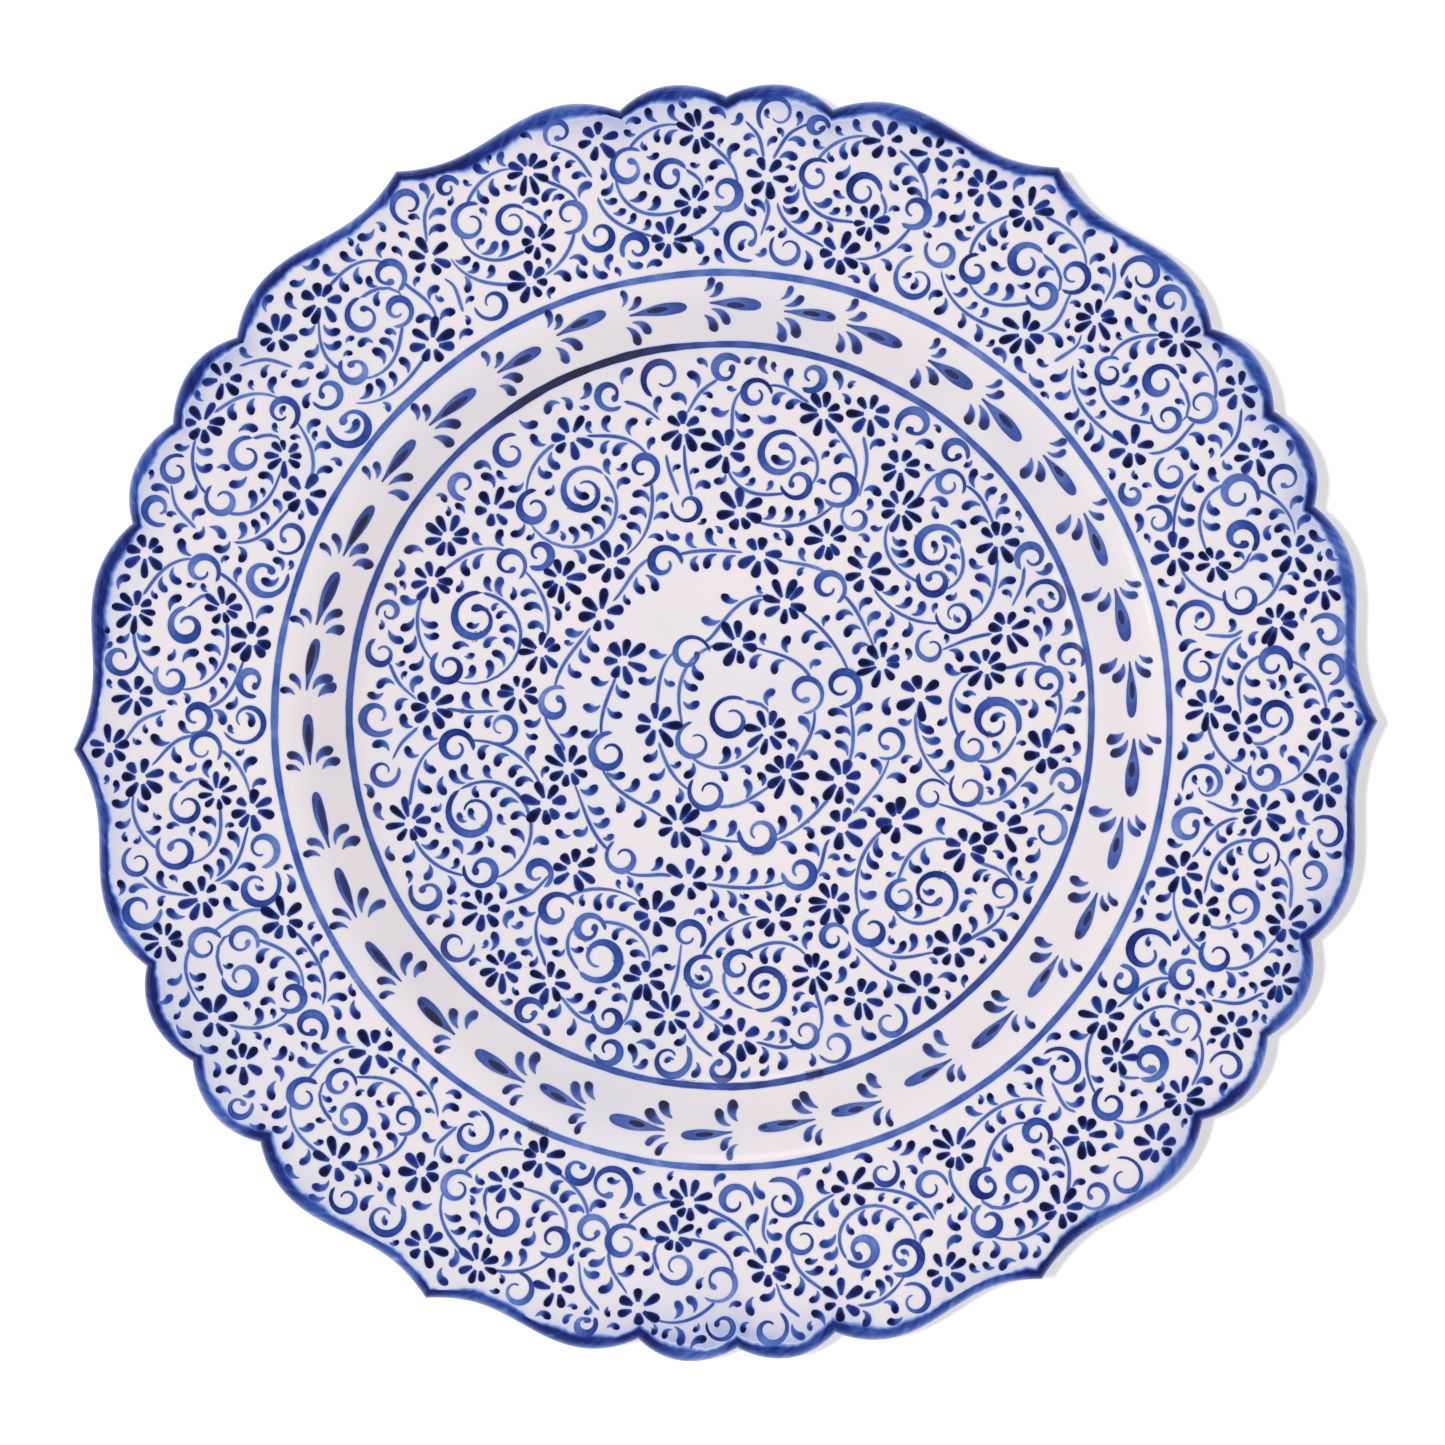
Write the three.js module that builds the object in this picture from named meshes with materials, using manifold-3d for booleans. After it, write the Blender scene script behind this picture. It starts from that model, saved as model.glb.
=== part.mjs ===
// Hand painted ceramic plate with a bracket-lobed rim, in millimetres.
// +Z is up and the painted face looks up. The origin is on the plate's axis, on the surface
// that the foot ring stands on.
import * as THREE from "three";
import { mergeVertices } from "three/addons/utils/BufferGeometryUtils.js";
import Module from "manifold-3d";

// Outline of the rim. Six pointed tips divide it into sectors. Between two tips the edge dips
// into a hollow, swells to a crest, and meets two small lobes at three notches.
// Bearings run anticlockwise from +X. They are a little uneven, as on a rim cut by hand.
const TIPS = [
  { bearing: 0, reach: 151 },
  { bearing: 59, reach: 149.7 },
  { bearing: 121, reach: 148.6 },
  { bearing: 182.5, reach: 151.4 },
  { bearing: 242.5, reach: 150.7 },
  { bearing: 299.5, reach: 148.6 },
];
// Where each feature lies, in degrees from the nearest tip in a sector of 60 degrees,
// and how far inside the tips' reach it is.
const HOLLOW = { at: 5.5, drop: 4 };
const CREST = { at: 14.5, drop: 1 };
const NOTCH = { at: 20.4, drop: 5.4 };
const LOBE = { at: 25.2, drop: 1.2 };
const MID_NOTCH = { at: 30, drop: 4.4 };
const HALF_SECTOR = 30;
// Bearings at which a half sector is sampled: every feature, and enough between them.
const HALF_SECTOR_SAMPLES = [
  0,
  2,
  HOLLOW.at,
  10,
  CREST.at,
  18,
  NOTCH.at,
  22.6,
  LOBE.at,
  27.8,
];

// Heights and radii of the clay body.
const FOOT_HEIGHT = 6;
const FLOOR_THICKNESS = 5.2;
const FLOOR_RADIUS = 80; // where the flat floor of the well ends
const SHOULDER_RADIUS = 106; // where the cavetto meets the rim
const CAVETTO_RISE = 13;
const RIM_RISE = 6;
const RIM_CURVE = 1.15; // above 1 the rim steepens towards its edge
const EDGE_THICKNESS = 5.1;
const WALL_SHIFT = 2; // how far outside its face the back of the cavetto is
const NOSE_INSET = 1.3; // the edge is rounded over this width
const NOSE_DROP = 0.6; // how far the rim falls to the lip band's edge from its full height
const CAVETTO_STEPS = 4;

// Thickness of the coats on the clay: white slip on the face, and clear glaze over everything.
const SLIP = 0.3;
const GLAZE = 0.4;
const LIP_WIDTH = 4; // width of the cobalt band that wraps over the edge

// Foot ring, bare clay.
const FOOT_OUTER = FLOOR_RADIUS + WALL_SHIFT;
const FOOT_INNER = 75.5;
const FOOT_CHAMFER = 1.2;
const HANGING_HOLE = { radius: 1.5, height: 3, spacing: 22 };

const FLOOR_TOP = FOOT_HEIGHT + FLOOR_THICKNESS;
const SHOULDER_TOP = FLOOR_TOP + CAVETTO_RISE;
const EDGE_TOP = SHOULDER_TOP + RIM_RISE;
const EDGE_UNDER = EDGE_TOP - EDGE_THICKNESS;

const radians = THREE.MathUtils.degToRad;
const ease = (t) => 0.5 - 0.5 * Math.cos(Math.PI * t);

// How far the edge is inside the tips' reach, at so many degrees from the nearest tip.
function edgeDrop(degrees) {
  if (degrees < HOLLOW.at) {
    const t = 1 - degrees / HOLLOW.at;
    return HOLLOW.drop * (1 - t * t);
  }
  if (degrees < CREST.at) {
    const t = (degrees - HOLLOW.at) / (CREST.at - HOLLOW.at);
    return HOLLOW.drop + (CREST.drop - HOLLOW.drop) * ease(t);
  }
  if (degrees < NOTCH.at) {
    const t = (degrees - CREST.at) / (NOTCH.at - CREST.at);
    return CREST.drop + (NOTCH.drop - CREST.drop) * t * t;
  }
  const end = degrees < LOBE.at ? NOTCH : MID_NOTCH;
  const t = (degrees - LOBE.at) / (end.at - LOBE.at);
  return LOBE.drop + (end.drop - LOBE.drop) * t * t;
}

// The rim's outline as a list of bearings, in radians, with the edge's radius at each.
function makeOutline() {
  const outline = [];
  TIPS.forEach((tip, i) => {
    const next = TIPS[(i + 1) % TIPS.length];
    const width = (next.bearing - tip.bearing + 360) % 360;
    const mirrored = HALF_SECTOR_SAMPLES.slice(1)
      .reverse()
      .map((d) => 2 * HALF_SECTOR - d);
    for (const d of [...HALF_SECTOR_SAMPLES, HALF_SECTOR, ...mirrored]) {
      const share = d / (2 * HALF_SECTOR);
      const reach = tip.reach + (next.reach - tip.reach) * share;
      const drop = edgeDrop(Math.min(d, 2 * HALF_SECTOR - d));
      outline.push({
        bearing: radians(tip.bearing + width * share),
        radius: reach - drop,
      });
    }
  });
  return outline;
}
const OUTLINE = makeOutline();

// A point of a profile inside the shoulder is at radius r. On the rim, share says how far it
// is from the shoulder to the edge, and inset how far it is drawn back from there.
const round = (r, z) => ({ r, share: 0, inset: 0, z });
const onRim = (share, inset, z) => ({
  r: SHOULDER_RADIUS,
  share,
  inset,
  z,
});

function pointOf(station, edge) {
  const along = station.share * (edge.radius - SHOULDER_RADIUS);
  const r = station.r + along - station.inset;
  return [r * Math.cos(edge.bearing), r * Math.sin(edge.bearing), station.z];
}

function meanRadius(station) {
  return station.r + station.share * (TIPS[0].reach - SHOULDER_RADIUS) - station.inset;
}

function isOutside(station, other) {
  const step = meanRadius(station) - meanRadius(other);
  return step === 0 ? station.z > other.z : step > 0;
}

// The painted side of the clay, from the axis out to the edge's rounding.
function facePath() {
  const path = [round(0, FLOOR_TOP)];
  for (let i = 0; i <= CAVETTO_STEPS; i++) {
    const t = i / CAVETTO_STEPS;
    const r = FLOOR_RADIUS + (SHOULDER_RADIUS - FLOOR_RADIUS) * t;
    path.push(round(r, FLOOR_TOP + CAVETTO_RISE * ease(t)));
  }
  path.push(onRim(0.5, 0, SHOULDER_TOP + RIM_RISE * 0.5 ** RIM_CURVE));
  path.push(onRim(1, LIP_WIDTH, EDGE_TOP - NOSE_DROP));
  return path;
}

// The back of the clay, from the edge's rounding in to the axis.
function backPath() {
  const path = [onRim(1, LIP_WIDTH, EDGE_UNDER - NOSE_DROP)];
  const shoulder = SHOULDER_TOP - EDGE_THICKNESS;
  path.push(onRim(0.5, 0, shoulder + RIM_RISE * 0.5 ** RIM_CURVE));
  for (let i = CAVETTO_STEPS; i >= 0; i--) {
    const t = i / CAVETTO_STEPS;
    const r = FLOOR_RADIUS + (SHOULDER_RADIUS - FLOOR_RADIUS) * t;
    const z = FOOT_HEIGHT + (shoulder - FOOT_HEIGHT) * ease(t);
    path.push(round(r + WALL_SHIFT, z));
  }
  return path;
}

// The rounded nose of the edge, from the painted side to the back.
function nosePath() {
  const middle = (EDGE_TOP + EDGE_UNDER) / 2;
  return [
    onRim(1, NOSE_INSET, EDGE_TOP),
    onRim(1, 0, middle),
    onRim(1, NOSE_INSET, EDGE_UNDER),
  ];
}

// The same path moved off the clay by a thickness, square to the path.
// A path runs so that the clay is on its right.
function coated(path, thickness) {
  return path.map((p, i) => {
    if (p.r === 0) return { ...p, z: p.z + thickness };
    const a = path[Math.max(i - 1, 0)];
    const b = path[Math.min(i + 1, path.length - 1)];
    const along = new THREE.Vector2(meanRadius(b) - meanRadius(a), b.z - a.z);
    along.normalize().multiplyScalar(thickness);
    return { ...p, inset: p.inset + along.y, z: p.z + along.x };
  });
}

// A closed solid swept round the plate's outline. The loop of stations goes round the solid's
// section with the material on its right, and a station at radius 0 becomes one point.
function lobedSolid(loop) {
  const positions = [];
  const rings = loop.map((station) => {
    const first = positions.length / 3;
    const onAxis = station.r === 0;
    const edges = onAxis ? OUTLINE.slice(0, 1) : OUTLINE;
    for (const edge of edges) positions.push(...pointOf(station, edge));
    return OUTLINE.map((_, i) => (onAxis ? first : first + i));
  });
  const faces = [];
  rings.forEach((ring, k) => {
    const next = rings[(k + 1) % rings.length];
    const outwards = isOutside(loop[(k + 1) % loop.length], loop[k]);
    for (let i = 0; i < OUTLINE.length; i++) {
      const j = (i + 1) % OUTLINE.length;
      const [a, b, c, d] = [ring[i], next[i], next[j], ring[j]];
      // Coats that share a surface split its quads along the same diagonal, from the outer
      // station at one bearing to the inner station at the next.
      const halves = outwards ? [[a, b, d], [b, c, d]] : [[a, b, c], [a, c, d]];
      for (const [p, q, r] of halves) {
        if (p !== q && q !== r && r !== p) faces.push(p, q, r);
      }
    }
  });
  const geometry = new THREE.BufferGeometry();
  const attribute = new THREE.Float32BufferAttribute(positions, 3);
  geometry.setAttribute("position", attribute);
  geometry.setIndex(faces);
  return geometry;
}

const wasm = await Module();
wasm.setup();

function toManifold(geometry) {
  const bare = geometry.clone();
  bare.deleteAttribute("normal");
  bare.deleteAttribute("uv");
  const merged = mergeVertices(bare, 1e-4);
  const mesh = new wasm.Mesh({
    numProp: 3,
    vertProperties: merged.attributes.position.array,
    triVerts: new Uint32Array(merged.index.array),
  });
  return new wasm.Manifold(mesh);
}

function toGeometry(solid) {
  const mesh = solid.getMesh();
  const geometry = new THREE.BufferGeometry();
  const attribute = new THREE.BufferAttribute(mesh.vertProperties, 3);
  geometry.setAttribute("position", attribute);
  geometry.setIndex(new THREE.BufferAttribute(mesh.triVerts, 1));
  return geometry;
}

const face = facePath();
const nose = nosePath();
const back = backPath();
const slipSurface = coated(face, SLIP);
const faceSurface = coated(face, SLIP + GLAZE);
const backSurface = coated(back, GLAZE);
backSurface[backSurface.length - 1] = round(FOOT_OUTER, FOOT_HEIGHT - GLAZE);

function clayBody() {
  return lobedSolid([...face, ...nose, ...back, round(0, FOOT_HEIGHT)]);
}

function whiteSlip() {
  return lobedSolid([...slipSurface, ...[...face].reverse()]);
}

function faceGlaze() {
  return lobedSolid([...faceSurface, ...[...slipSurface].reverse()]);
}

function lipGlaze() {
  const clay = [face.at(-1), ...nose, back[0]];
  const coat = coated(clay, GLAZE);
  coat[0] = faceSurface.at(-1);
  coat[coat.length - 1] = backSurface[0];
  return lobedSolid([...coat, ...clay.reverse(), slipSurface.at(-1)]);
}

function backGlaze() {
  return lobedSolid([...backSurface, ...[...back].reverse()]);
}

function recessGlaze() {
  return lobedSolid([
    round(0, FOOT_HEIGHT),
    round(FOOT_INNER, FOOT_HEIGHT),
    round(FOOT_INNER, FOOT_HEIGHT - GLAZE),
    round(0, FOOT_HEIGHT - GLAZE),
  ]);
}

// The ring that the plate stands on, with two holes for a hanging wire.
function footRing() {
  const ring = lobedSolid([
    round(FOOT_INNER, FOOT_HEIGHT),
    round(FOOT_OUTER, FOOT_HEIGHT),
    round(FOOT_OUTER, FOOT_CHAMFER),
    round(FOOT_OUTER - FOOT_CHAMFER, 0),
    round(FOOT_INNER + FOOT_CHAMFER, 0),
    round(FOOT_INNER, FOOT_CHAMFER),
  ]);
  const { radius, height, spacing } = HANGING_HOLE;
  let solid = toManifold(ring);
  for (const side of [-1, 1]) {
    const drill = new THREE.CylinderGeometry(radius, radius, 30, 16);
    const middle = (FOOT_OUTER + FOOT_INNER) / 2;
    drill.translate((side * spacing) / 2, middle, height);
    solid = solid.subtract(toManifold(drill));
  }
  return toGeometry(solid);
}

const fired_clay = { color: 0xe4d7c3, roughness: 0.85, metalness: 0 };
const slip = { color: 0xf0ebe8, roughness: 0.8, metalness: 0 };
const clear_glaze = { color: 0xe6dfe3, roughness: 0.12, metalness: 0 };
const cobalt = { color: 0x2a4aa0, roughness: 0.12, metalness: 0 };

const plate = new THREE.Group();

function addPiece(name, geometry, finish) {
  const mesh = new THREE.Mesh(geometry, new THREE.MeshStandardMaterial(finish));
  mesh.name = name;
  plate.add(mesh);
}

addPiece("clay_body", clayBody(), fired_clay);
addPiece("foot_ring", footRing(), fired_clay);
addPiece("white_slip", whiteSlip(), slip);
addPiece("face_glaze", faceGlaze(), clear_glaze);
addPiece("lip_glaze", lipGlaze(), cobalt);
addPiece("back_glaze", backGlaze(), clear_glaze);
addPiece("recess_glaze", recessGlaze(), clear_glaze);

export default plate;
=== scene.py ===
"""A hand painted ceramic plate: smooth glazed coats over the packed clay body, with the cobalt
brushwork laid on the glaze stroke by stroke. Lengths are in millimetres until a mesh is made,
bearings in degrees, anticlockwise from +X as seen from above."""

import math
import random

import bpy
import numpy as np
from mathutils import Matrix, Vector


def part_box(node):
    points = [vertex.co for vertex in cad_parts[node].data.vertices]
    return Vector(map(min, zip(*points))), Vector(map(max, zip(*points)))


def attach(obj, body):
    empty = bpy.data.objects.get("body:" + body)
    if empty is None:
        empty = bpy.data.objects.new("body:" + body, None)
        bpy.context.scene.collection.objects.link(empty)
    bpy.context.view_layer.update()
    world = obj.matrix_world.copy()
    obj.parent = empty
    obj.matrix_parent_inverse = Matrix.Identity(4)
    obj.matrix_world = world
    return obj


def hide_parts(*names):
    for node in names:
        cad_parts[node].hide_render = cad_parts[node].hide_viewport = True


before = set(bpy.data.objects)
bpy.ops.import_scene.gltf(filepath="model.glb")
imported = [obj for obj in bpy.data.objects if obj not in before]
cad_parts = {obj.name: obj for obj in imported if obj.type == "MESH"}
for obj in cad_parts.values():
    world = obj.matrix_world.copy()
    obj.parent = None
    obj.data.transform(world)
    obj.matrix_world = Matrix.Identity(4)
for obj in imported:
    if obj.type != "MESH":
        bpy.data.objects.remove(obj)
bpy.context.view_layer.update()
MM = 0.001
rng = random.Random(19)

# ---- sizes of the body

FOOT_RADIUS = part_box("foot_ring")[1].x / MM
FOOT_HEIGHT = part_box("foot_ring")[1].z / MM
RECESS_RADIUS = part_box("recess_glaze")[1].x / MM
GLAZE = FOOT_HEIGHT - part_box("recess_glaze")[0].z / MM
FLOOR_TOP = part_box("white_slip")[0].z / MM
FLOOR_COATS = 0.7  # slip and glaze together on the face
SLIP = FLOOR_COATS - GLAZE
HOLE_RADIUS = 1.5
HOLE_OFFSET = 11  # each side of the middle
HOLE_HEIGHT = 3.2
FOOT_SIDE = 2.4  # height down to which the side of the foot is straight
FOOT_ROUND = (1.9, 1.6)  # across and up, of the corners that it stands on
SHARP_EDGE = 38  # degrees between faces that shade as an edge

FLOOR_RADIUS = 80  # where the flat floor of the well ends
SHOULDER_RADIUS = 106  # where the cavetto meets the rim
CAVETTO_RISE = 13
RIM_RISE = 6
RIM_CURVE = 1.15
MEAN_EDGE = 149
WALL = 5.1
WALL_SHIFT = FOOT_RADIUS - FLOOR_RADIUS
NOSE = 1.8  # width over which the edge is rounded
LIP_WIDTH = 4

# Outline of the rim: bearing and reach of each tip, then what lies between two tips, in
# degrees from the nearest tip in a sector of 60, and how far inside the tips' reach it is.
TIPS = ((0, 151), (59, 149.7), (121, 148.6), (182.5, 151.4), (242.5, 150.7), (299.5, 148.6))
TIP_BEARINGS = np.array([bearing for bearing, _ in TIPS])
TIP_REACHES = np.array([reach for _, reach in TIPS])
HOLLOW_AT, HOLLOW_DROP = 5.5, 4
CREST_AT, CREST_DROP = 14.5, 1
NOTCH_AT, NOTCH_DROP = 20.4, 5.4
LOBE_AT, LOBE_DROP = 25.2, 1.2
MIDDLE_AT, MIDDLE_DROP = 30, 4.4


def ease(t):
    """0 to 1 along half a cosine."""
    return 0.5 - 0.5 * np.cos(np.pi * np.clip(t, 0, 1))


def between(value, low, high):
    """How far value is from low to high, eased, as a share from 0 to 1."""
    return ease((value - low) / (high - low))


def bell(distance, spread):
    """1 at no distance, falling off smoothly over the spread."""
    return np.exp(-((distance / spread) ** 2))


def turned_from(bearing, middle):
    """Degrees that a bearing is past another, from -180 to 180."""
    return (bearing - middle + 180) % 360 - 180


def edge_drop(off):
    """How far the edge is inside the tips' reach, at so many degrees from the nearest tip."""
    hollow = HOLLOW_DROP * (1 - (1 - off / HOLLOW_AT) ** 2)
    crest = HOLLOW_DROP + (CREST_DROP - HOLLOW_DROP) * between(off, HOLLOW_AT, CREST_AT)
    notch = CREST_DROP + (NOTCH_DROP - CREST_DROP) * ((off - CREST_AT) / (NOTCH_AT - CREST_AT)) ** 2
    near = LOBE_DROP + (NOTCH_DROP - LOBE_DROP) * ((off - LOBE_AT) / (NOTCH_AT - LOBE_AT)) ** 2
    far = LOBE_DROP + (MIDDLE_DROP - LOBE_DROP) * ((off - LOBE_AT) / (MIDDLE_AT - LOBE_AT)) ** 2
    limits = [off < HOLLOW_AT, off < CREST_AT, off < NOTCH_AT, off < LOBE_AT]
    return np.select(limits, [hollow, crest, notch, near], far)


def off_tip(bearing):
    """Sector number, share of the way through it, and degrees from the nearest tip."""
    bearing = np.mod(bearing, 360)
    sector = np.searchsorted(TIP_BEARINGS, bearing, side="right") - 1
    after = (sector + 1) % len(TIPS)
    width = np.mod(TIP_BEARINGS[after] - TIP_BEARINGS[sector], 360)
    share = (bearing - TIP_BEARINGS[sector]) / width
    return sector, share, 60 * np.minimum(share, 1 - share)


def edge_radius(bearing):
    """Radius of the clay's edge at a bearing."""
    sector, share, off = off_tip(bearing)
    after = (sector + 1) % len(TIPS)
    reach = TIP_REACHES[sector] + (TIP_REACHES[after] - TIP_REACHES[sector]) * share
    return reach - edge_drop(off)


def rim_height(r, start):
    return RIM_RISE * (np.clip(r - start, 0, None) / (MEAN_EDGE - start)) ** RIM_CURVE


def clay_top(r):
    """Height of the clay's upper side at a radius."""
    cavetto = CAVETTO_RISE * between(r, FLOOR_RADIUS, SHOULDER_RADIUS)
    return FLOOR_TOP + cavetto + rim_height(r, SHOULDER_RADIUS)


def clay_under(r):
    """Height of the clay's underside at a radius outside the foot."""
    shoulder = FLOOR_TOP + CAVETTO_RISE - WALL
    outer = SHOULDER_RADIUS + WALL_SHIFT
    return (
        FOOT_HEIGHT
        + (shoulder - FOOT_HEIGHT) * between(r, FOOT_RADIUS, outer)
        + rim_height(r, outer)
    )


def steepness(height, r):
    step = 0.05
    return (height(r + step) - height(r - step)) / (2 * step)


def warp(x, y):
    """How far the hand-thrown face strays from true, up or down."""
    r = np.hypot(x, y)
    turning = 0.035 * np.sin(r / 2.7) * between(r, 10, 40)
    swell = 0.10 * np.sin(x / 31 + 1.3) * np.sin(y / 27 + 0.4)
    saddle = 0.25 * (r / MEAN_EDGE) ** 3 * np.sin(2 * np.arctan2(y, x) + 0.8)
    return turning + swell + saddle


def face_height(x, y, coat=FLOOR_COATS):
    """Height of the face, with so much slip and glaze on the clay."""
    r = np.hypot(x, y)
    return clay_top(r) + coat * np.hypot(1, steepness(clay_top, r)) + warp(x, y)


def back_height(x, y, coat=GLAZE):
    r = np.hypot(x, y)
    thick = coat * np.hypot(1, steepness(clay_under, r))
    return clay_under(r) - thick + warp(x, y) * between(r, SHOULDER_RADIUS, MEAN_EDGE)


def polar(bearing, distance):
    """The plan point or points at a bearing and distance from the origin."""
    turn = np.radians(bearing)
    return np.stack([distance * np.cos(turn), distance * np.sin(turn)], -1)


# ---- meshes


def new_object(name, data):
    """An object in the scene for a mesh, light or camera."""
    thing = bpy.data.objects.new(name, data)
    bpy.context.scene.collection.objects.link(thing)
    return thing


def make_piece(name, points, faces, material, slot, replaces=()):
    """A mesh object in the row's frame from points in millimetres."""
    mesh = bpy.data.meshes.new(name)
    mesh.from_pydata((np.asarray(points) * MM).tolist(), [], faces)
    mesh.validate()
    mesh.shade_smooth()
    mesh.set_sharp_from_angle(angle=math.radians(SHARP_EDGE))
    mesh.materials.append(material)
    piece = new_object(name, mesh)
    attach(piece, "root")
    if replaces:
        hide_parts(*replaces)
    return piece


def bearings_round(step):
    """Bearings round the rim that meet every tip, hollow, crest and notch."""
    half = []
    features = (0, HOLLOW_AT, CREST_AT, NOTCH_AT, LOBE_AT, MIDDLE_AT)
    for low, high in zip(features, features[1:]):
        count = max(1, round((high - low) / step))
        half += [low + (high - low) * i / count for i in range(count)]
    sector = np.array(half + [MIDDLE_AT] + [60 - off for off in half[:0:-1]]) / 60
    widths = np.mod(np.roll(TIP_BEARINGS, -1) - TIP_BEARINGS, 360)
    return np.concatenate([tip + width * sector for tip, width in zip(TIP_BEARINGS, widths)])


def ring(bearings, radius, height):
    """Points round the plate at a radius, with a height or a height function."""
    x, y = polar(bearings, radius).T
    z = height(x, y) if callable(height) else height + 0 * x
    return np.stack([x, y, z], 1)


def swept(rings):
    """Points and faces of a closed body swept through a loop of rings. The loop goes round
    the section with the material on its right. A ring of one point is a pole."""
    size = max(len(r) for r in rings)
    points, indices = [], []
    for r in rings:
        indices.append(sum(map(len, points)) + np.arange(size) % len(r))
        points.append(r)
    faces = []
    for low, high in zip(indices, indices[1:] + indices[:1]):
        corners = [low, high, np.roll(high, -1), np.roll(low, -1)]
        if low[0] == low[1] and high[0] == high[1]:
            continue
        if high[0] == high[1]:
            corners = [low, high, np.roll(low, -1)]
        if low[0] == low[1]:
            corners = [low, high, np.roll(high, -1)]
        faces += np.stack(corners, 1).tolist()
    return np.concatenate(points), faces


FACE_STATIONS = np.concatenate(
    [np.linspace(8, 78, 11), np.linspace(FLOOR_RADIUS, SHOULDER_RADIUS, 22)]
)
RIM_SHARES = np.linspace(0, 1, 17)[1:]


def face_rings(bearings, coat):
    """Rings of the face from the middle of the well to the lip, outwards."""
    limit = edge_radius(bearings) - LIP_WIDTH

    def height(x, y):
        return face_height(x, y, coat)

    rings = [ring(bearings, r + 0 * bearings, height) for r in FACE_STATIONS]
    for share in RIM_SHARES:
        rings.append(ring(bearings, SHOULDER_RADIUS + share * (limit - SHOULDER_RADIUS), height))
    return rings


def back_rings(bearings, coat):
    """Rings of the back from the lip in to the foot."""
    limit = edge_radius(bearings) - LIP_WIDTH
    outer = SHOULDER_RADIUS + WALL_SHIFT

    def height(x, y):
        return back_height(x, y, coat)

    rings = []
    for share in RIM_SHARES[::-1]:
        rings.append(ring(bearings, outer + share * (limit - outer), height))
    for r in np.linspace(outer, FOOT_RADIUS, 20):
        rings.append(ring(bearings, r + 0 * bearings, height))
    return rings


def lip_point(bearings, turn, top_coat, side_coat):
    """Points of the rounded edge. turn is 0 on the face, where the rounding starts, and 180
    on the back. Below 0 and above 180 it runs on along the face and the back, in mm."""
    edge = edge_radius(bearings) + side_coat
    root = polar(bearings, edge - NOSE)
    high = face_height(*root.T, top_coat)
    low = back_height(*root.T, side_coat)
    slope = RIM_RISE * RIM_CURVE / (MEAN_EDGE - SHOULDER_RADIUS)
    tilt = math.atan(slope)
    half = (high - low) / 2
    reach = NOSE * math.sin(math.radians(turn))
    lift = half * math.cos(math.radians(turn))
    r = edge - NOSE + reach * math.cos(tilt)
    z = (high + low) / 2 + lift + reach * math.sin(tilt)
    return np.column_stack([polar(bearings, r), z])


def lip_rings(bearings, top_coat, side_coat, turns):
    """Rings of the edge from the face round to the back."""
    edge = edge_radius(bearings)
    start = ring(bearings, edge - LIP_WIDTH, lambda x, y: face_height(x, y, top_coat))
    end = ring(bearings, edge - LIP_WIDTH, lambda x, y: back_height(x, y, side_coat))
    nose = [lip_point(bearings, turn, top_coat, side_coat) for turn in turns]
    return [start, *nose, end]


FINE = bearings_round(0.45)
COARSE = bearings_round(0.9)
FINE_TURNS = np.linspace(0, 180, 19)


def face_surface(bearings, coat):
    """Rings of the whole face with so much slip and glaze on the clay, from its middle out."""
    middle = np.array([[0, 0, face_height(0.0, 0.0, coat)]])
    return [middle, *face_rings(bearings, coat)]


def make_coat(name, outer, inner, material, slot, node):
    """A closed coat between two surfaces given as rings, in place of a CAD node."""
    return make_piece(name, *swept(outer + inner[::-1]), material, slot, [node])


def white_slip(material):
    face, clay = face_surface(COARSE, SLIP), face_surface(COARSE, 0)
    make_coat("slip_coat", face, clay, material, "white_slip", "white_slip")


def face_glaze(material):
    face, slip = face_surface(FINE, FLOOR_COATS), face_surface(FINE, SLIP)
    add_wash(make_coat("face_glaze_coat", face, slip, material, "clear_glaze", "face_glaze"))


def lip_glaze(material):
    outer = lip_rings(FINE, FLOOR_COATS, GLAZE, FINE_TURNS)
    inner = lip_rings(FINE, SLIP, 0, FINE_TURNS[::3])
    add_wash(make_coat("lip_glaze_coat", outer, inner, material, "clear_glaze", "lip_glaze"))


def back_glaze(material):
    coat, clay = back_rings(FINE, GLAZE), back_rings(FINE, 0)
    make_coat("back_glaze_coat", coat, clay, material, "clear_glaze", "back_glaze")


def clay_body(material):
    face = face_surface(COARSE, 0)
    lip = lip_rings(COARSE, 0, 0, FINE_TURNS[::3])[1:-1]
    back = back_rings(COARSE, 0)
    under = [np.array([[0, 0, FOOT_HEIGHT]])]
    rings = face + lip + back + under
    make_piece("clay_core", *swept(rings), material, "fired_clay", ["clay_body"])


def recess_glaze(material):
    bearings = np.arange(0, 360, 1.5)
    low = FOOT_HEIGHT - GLAZE
    edge = RECESS_RADIUS - 0.05
    radii = (edge, edge - 0.6, *np.linspace(edge - 4, 6, 9))
    heights = (low - 0.55, low - 0.15, *[low] * 9)
    under = [ring(bearings, r + 0 * bearings, z) for r, z in zip(radii, heights)]
    top = [ring(bearings, edge + 0 * bearings, FOOT_HEIGHT)]
    rings = top + under + [np.array([[0, 0, low]]), np.array([[0, 0, FOOT_HEIGHT]])]
    make_piece("recess_glaze_coat", *swept(rings), material, "clear_glaze", ["recess_glaze"])


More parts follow.
